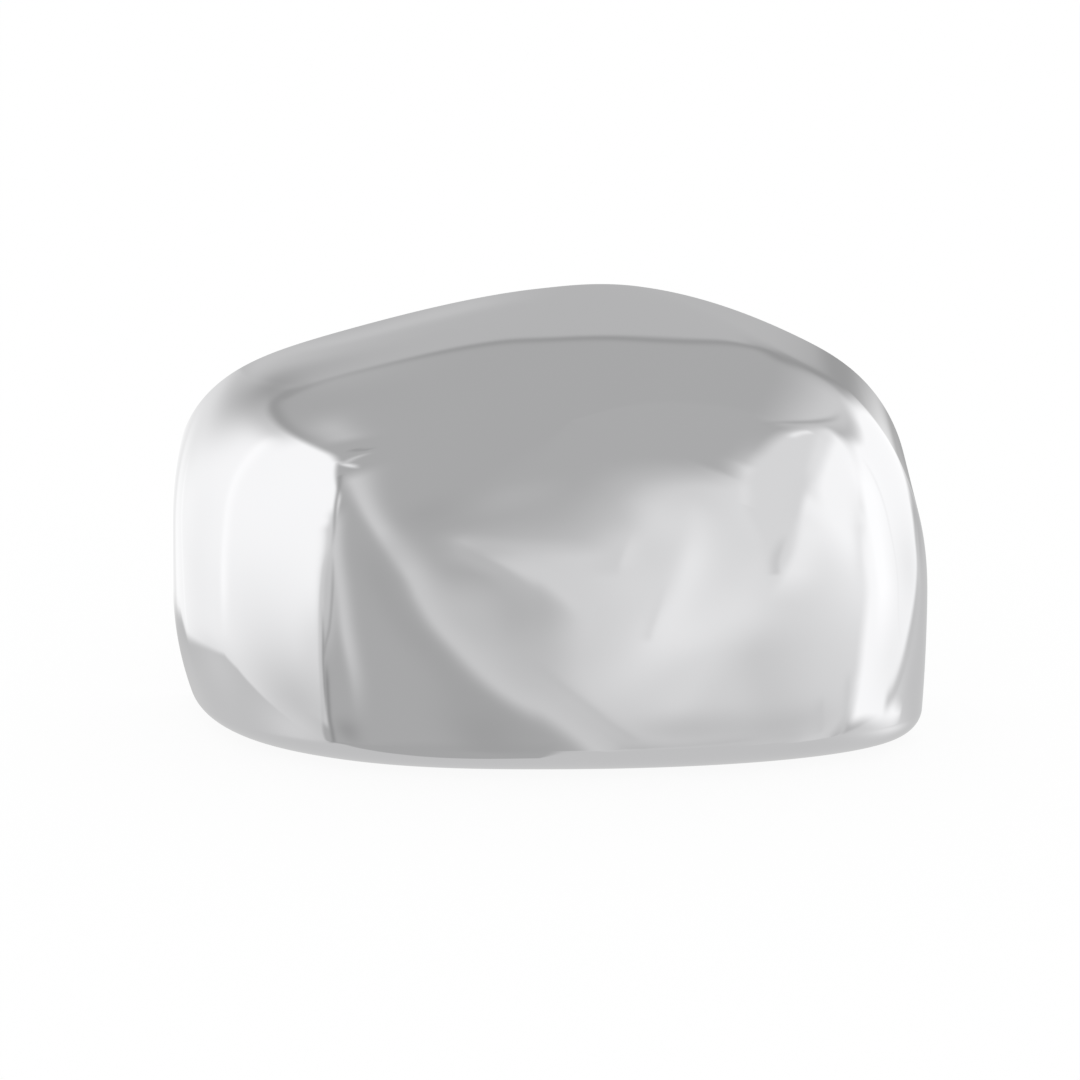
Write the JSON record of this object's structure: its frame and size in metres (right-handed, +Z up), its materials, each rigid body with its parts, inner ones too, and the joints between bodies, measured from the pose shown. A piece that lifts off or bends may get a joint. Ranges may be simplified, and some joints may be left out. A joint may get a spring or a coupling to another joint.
{
  "type": "wing mirror cover",
  "caption": "Chrome plated plastic cover for a wing mirror: a thin rounded shell, open at the back, with snap hooks inside its rim.",
  "frame": {"origin": "centre of the bounding box at the flat underside", "axes": "+X along the width from the long rounded end to the short rounded end, +Y out of the open back, square to the rim plane, +Z up from the underside to the roof"},
  "size_m": [0.25, 0.104, 0.1427],
  "materials": {
    "chrome_shell": "mirror bright plating over smooth plastic"
  },
  "bodies": {
    "root": {"cover": "chrome_shell"}
  },
  "joints": []
}
